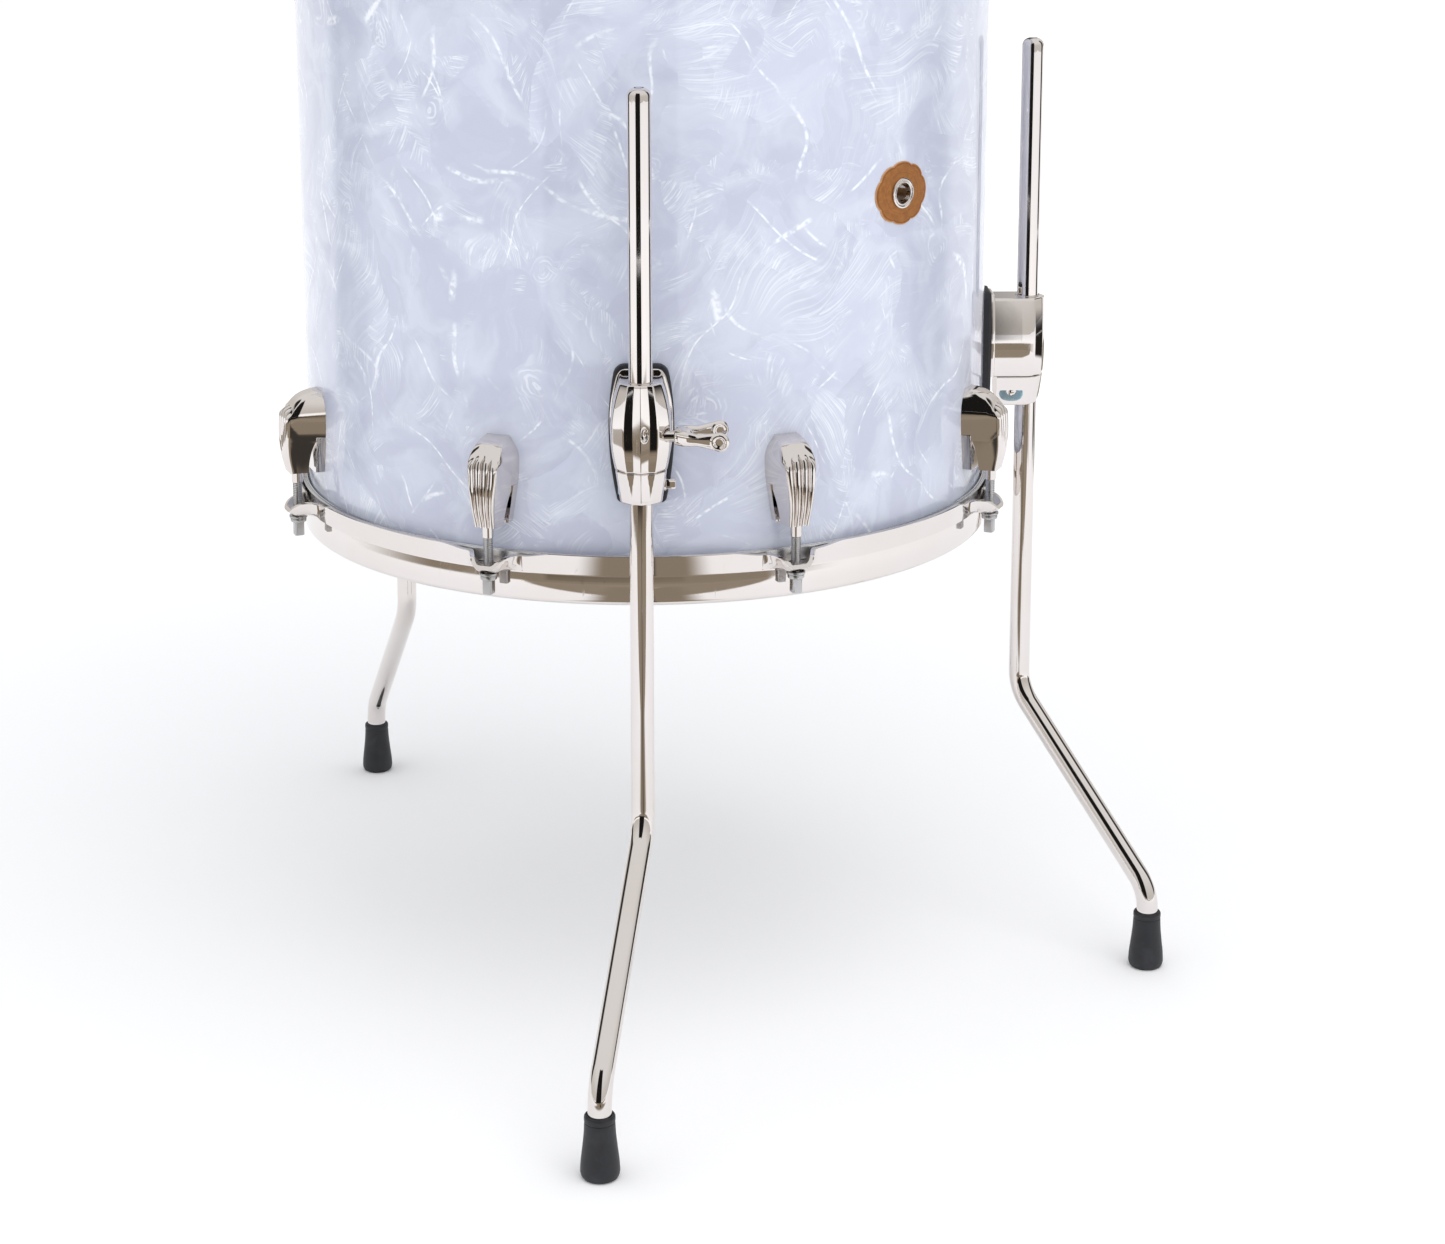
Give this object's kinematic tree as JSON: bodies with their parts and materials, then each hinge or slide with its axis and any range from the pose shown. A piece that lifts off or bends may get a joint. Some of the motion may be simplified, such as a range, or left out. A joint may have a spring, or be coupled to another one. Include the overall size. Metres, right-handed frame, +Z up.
{
  "type": "floor tom drum",
  "caption": "Wrapped wooden floor tom with lugs, pressed hoops, two heads and bent height-adjustable legs in clamp brackets with wing bolts and memory locks.",
  "frame": {"origin": "on the floor, under the middle of the whole footprint, feet and hoop ears included", "axes": "+Z up along the drum's axis; -Y is the side with the front leg; +X is the side with the right leg"},
  "size_m": [0.5247, 0.619, 0.7],
  "materials": {
    "maple_ply": "clear sealed plies",
    "white_pearl": "glossy marine pearl wrap, white with a lavender cast",
    "copper_badge": "etched copper plate",
    "nickel_plate": "warm polished nickel",
    "plain_steel": "zinc-plated steel",
    "blue_zinc": "blue passivated zinc",
    "gasket_rubber": "black rubber",
    "foot_rubber": "black moulded rubber",
    "coated_film": "white sprayed coating on polyester",
    "clear_film": "clear polyester",
    "ring_aluminium": "plain aluminium channel"
  },
  "bodies": {
    "shell": {"shell": "maple_ply", "pearl_wrap": "white_pearl", "badge": "copper_badge", "vent_grommet": "nickel_plate", "upper_lugs": "nickel_plate", "lower_lugs": "nickel_plate", "lug_nuts": "nickel_plate", "lug_screws": "plain_steel", "lug_washers": "plain_steel", "bracket_gaskets": "gasket_rubber", "front_bracket": "nickel_plate", "right_bracket": "nickel_plate", "back_bracket": "nickel_plate", "bracket_screws": "plain_steel", "bracket_washers": "plain_steel", "clamp_shoes": "plain_steel"},
    "batter_hoop": {"batter_hoop": "nickel_plate", "batter_head_film": "coated_film", "batter_head_ring": "ring_aluminium", "batter_rod_washers": "plain_steel"},
    "batter_rod_1": {"batter_rod_1": "plain_steel"},
    "batter_rod_2": {"batter_rod_2": "plain_steel"},
    "batter_rod_3": {"batter_rod_3": "plain_steel"},
    "batter_rod_4": {"batter_rod_4": "plain_steel"},
    "batter_rod_5": {"batter_rod_5": "plain_steel"},
    "batter_rod_6": {"batter_rod_6": "plain_steel"},
    "batter_rod_7": {"batter_rod_7": "plain_steel"},
    "batter_rod_8": {"batter_rod_8": "plain_steel"},
    "resonant_hoop": {"resonant_hoop": "nickel_plate", "resonant_head_film": "clear_film", "resonant_head_ring": "ring_aluminium", "resonant_rod_washers": "plain_steel"},
    "resonant_rod_1": {"resonant_rod_1": "plain_steel"},
    "resonant_rod_2": {"resonant_rod_2": "plain_steel"},
    "resonant_rod_3": {"resonant_rod_3": "plain_steel"},
    "resonant_rod_4": {"resonant_rod_4": "plain_steel"},
    "resonant_rod_5": {"resonant_rod_5": "plain_steel"},
    "resonant_rod_6": {"resonant_rod_6": "plain_steel"},
    "resonant_rod_7": {"resonant_rod_7": "plain_steel"},
    "resonant_rod_8": {"resonant_rod_8": "plain_steel"},
    "front_lock": {"front_memory_lock": "nickel_plate", "front_lock_nut": "blue_zinc"},
    "front_lock_screw": {"front_lock_screw": "nickel_plate"},
    "front_leg": {"front_leg": "nickel_plate", "front_foot": "foot_rubber"},
    "front_wing_bolt": {"front_wing_bolt": "nickel_plate"},
    "right_lock": {"right_memory_lock": "nickel_plate", "right_lock_nut": "blue_zinc"},
    "right_lock_screw": {"right_lock_screw": "nickel_plate"},
    "right_leg": {"right_leg": "nickel_plate", "right_foot": "foot_rubber"},
    "right_wing_bolt": {"right_wing_bolt": "nickel_plate"},
    "back_lock": {"back_memory_lock": "nickel_plate", "back_lock_nut": "blue_zinc"},
    "back_lock_screw": {"back_lock_screw": "nickel_plate"},
    "back_leg": {"back_leg": "nickel_plate", "back_foot": "foot_rubber"},
    "back_wing_bolt": {"back_wing_bolt": "nickel_plate"}
  },
  "joints": [
    {"name": "batter_hoop_release", "type": "slide", "parent": "shell", "child": "batter_hoop", "axis": [0, 0, 1], "range_m": [0, 0.04]},
    {"name": "batter_rod_1_turn", "type": "hinge", "parent": "batter_hoop", "child": "batter_rod_1", "pos_m": [0.03263, -0.16554, 0.661], "axis": [0, 0, 1], "continuous": true},
    {"name": "batter_rod_2_turn", "type": "hinge", "parent": "batter_hoop", "child": "batter_rod_2", "pos_m": [0.15034, -0.04783, 0.661], "axis": [0, 0, 1], "continuous": true},
    {"name": "batter_rod_3_turn", "type": "hinge", "parent": "batter_hoop", "child": "batter_rod_3", "pos_m": [0.15034, 0.11863, 0.661], "axis": [0, 0, 1], "continuous": true},
    {"name": "batter_rod_4_turn", "type": "hinge", "parent": "batter_hoop", "child": "batter_rod_4", "pos_m": [0.03263, 0.23634, 0.661], "axis": [0, 0, 1], "continuous": true},
    {"name": "batter_rod_5_turn", "type": "hinge", "parent": "batter_hoop", "child": "batter_rod_5", "pos_m": [-0.13383, 0.23634, 0.661], "axis": [0, 0, 1], "continuous": true},
    {"name": "batter_rod_6_turn", "type": "hinge", "parent": "batter_hoop", "child": "batter_rod_6", "pos_m": [-0.25154, 0.11863, 0.661], "axis": [0, 0, 1], "continuous": true},
    {"name": "batter_rod_7_turn", "type": "hinge", "parent": "batter_hoop", "child": "batter_rod_7", "pos_m": [-0.25154, -0.04783, 0.661], "axis": [0, 0, 1], "continuous": true},
    {"name": "batter_rod_8_turn", "type": "hinge", "parent": "batter_hoop", "child": "batter_rod_8", "pos_m": [-0.13383, -0.16554, 0.661], "axis": [0, 0, 1], "continuous": true},
    {"name": "resonant_hoop_release", "type": "slide", "parent": "shell", "child": "resonant_hoop", "axis": [0, 0, -1], "range_m": [0, 0.04]},
    {"name": "resonant_rod_1_turn", "type": "hinge", "parent": "resonant_hoop", "child": "resonant_rod_1", "pos_m": [0.03263, -0.16554, 0.307], "axis": [0, 0, 1], "continuous": true},
    {"name": "resonant_rod_2_turn", "type": "hinge", "parent": "resonant_hoop", "child": "resonant_rod_2", "pos_m": [0.15034, -0.04783, 0.307], "axis": [0, 0, 1], "continuous": true},
    {"name": "resonant_rod_3_turn", "type": "hinge", "parent": "resonant_hoop", "child": "resonant_rod_3", "pos_m": [0.15034, 0.11863, 0.307], "axis": [0, 0, 1], "continuous": true},
    {"name": "resonant_rod_4_turn", "type": "hinge", "parent": "resonant_hoop", "child": "resonant_rod_4", "pos_m": [0.03263, 0.23634, 0.307], "axis": [0, 0, 1], "continuous": true},
    {"name": "resonant_rod_5_turn", "type": "hinge", "parent": "resonant_hoop", "child": "resonant_rod_5", "pos_m": [-0.13383, 0.23634, 0.307], "axis": [0, 0, 1], "continuous": true},
    {"name": "resonant_rod_6_turn", "type": "hinge", "parent": "resonant_hoop", "child": "resonant_rod_6", "pos_m": [-0.25154, 0.11863, 0.307], "axis": [0, 0, 1], "continuous": true},
    {"name": "resonant_rod_7_turn", "type": "hinge", "parent": "resonant_hoop", "child": "resonant_rod_7", "pos_m": [-0.25154, -0.04783, 0.307], "axis": [0, 0, 1], "continuous": true},
    {"name": "resonant_rod_8_turn", "type": "hinge", "parent": "resonant_hoop", "child": "resonant_rod_8", "pos_m": [-0.13383, -0.16554, 0.307], "axis": [0, 0, 1], "continuous": true},
    {"name": "front_leg_height", "type": "slide", "parent": "shell", "child": "front_lock", "axis": [0, 0, 1], "range_m": [-0.14, 0]},
    {"name": "front_leg_turn", "type": "hinge", "parent": "front_lock", "child": "front_leg", "pos_m": [-0.0506, -0.1951, 0.34], "axis": [0, 0, 1], "continuous": true},
    {"name": "front_lock_screw_turn", "type": "hinge", "parent": "front_lock", "child": "front_lock_screw", "pos_m": [-0.0506, -0.185, 0.3405], "axis": [1, 0, 0], "range_deg": [0, 360]},
    {"name": "front_wing_bolt_turn", "type": "hinge", "parent": "shell", "child": "front_wing_bolt", "pos_m": [-0.0506, -0.1981, 0.3695], "axis": [1, 0, 0], "range_deg": [0, 360]},
    {"name": "right_leg_height", "type": "slide", "parent": "shell", "child": "right_lock", "axis": [0, 0, 1], "range_m": [-0.14, 0]},
    {"name": "right_leg_turn", "type": "hinge", "parent": "right_lock", "child": "right_leg", "pos_m": [0.1799, 0.0354, 0.34], "axis": [0, 0, 1], "continuous": true},
    {"name": "right_lock_screw_turn", "type": "hinge", "parent": "right_lock", "child": "right_lock_screw", "pos_m": [0.1698, 0.0354, 0.3405], "axis": [0, 1, 0], "range_deg": [0, 360]},
    {"name": "right_wing_bolt_turn", "type": "hinge", "parent": "shell", "child": "right_wing_bolt", "pos_m": [0.1829, 0.0354, 0.3695], "axis": [0, 1, 0], "range_deg": [0, 360]},
    {"name": "back_leg_height", "type": "slide", "parent": "shell", "child": "back_lock", "axis": [0, 0, 1], "range_m": [-0.14, 0]},
    {"name": "back_leg_turn", "type": "hinge", "parent": "back_lock", "child": "back_leg", "pos_m": [-0.21359, 0.19839, 0.34], "axis": [0, 0, 1], "continuous": true},
    {"name": "back_lock_screw_turn", "type": "hinge", "parent": "back_lock", "child": "back_lock_screw", "pos_m": [-0.20645, 0.19125, 0.3405], "axis": [-0.7071, -0.7071, 0], "range_deg": [0, 360]},
    {"name": "back_wing_bolt_turn", "type": "hinge", "parent": "shell", "child": "back_wing_bolt", "pos_m": [-0.21571, 0.20051, 0.3695], "axis": [-0.7071, -0.7071, 0], "range_deg": [0, 360]}
  ]
}
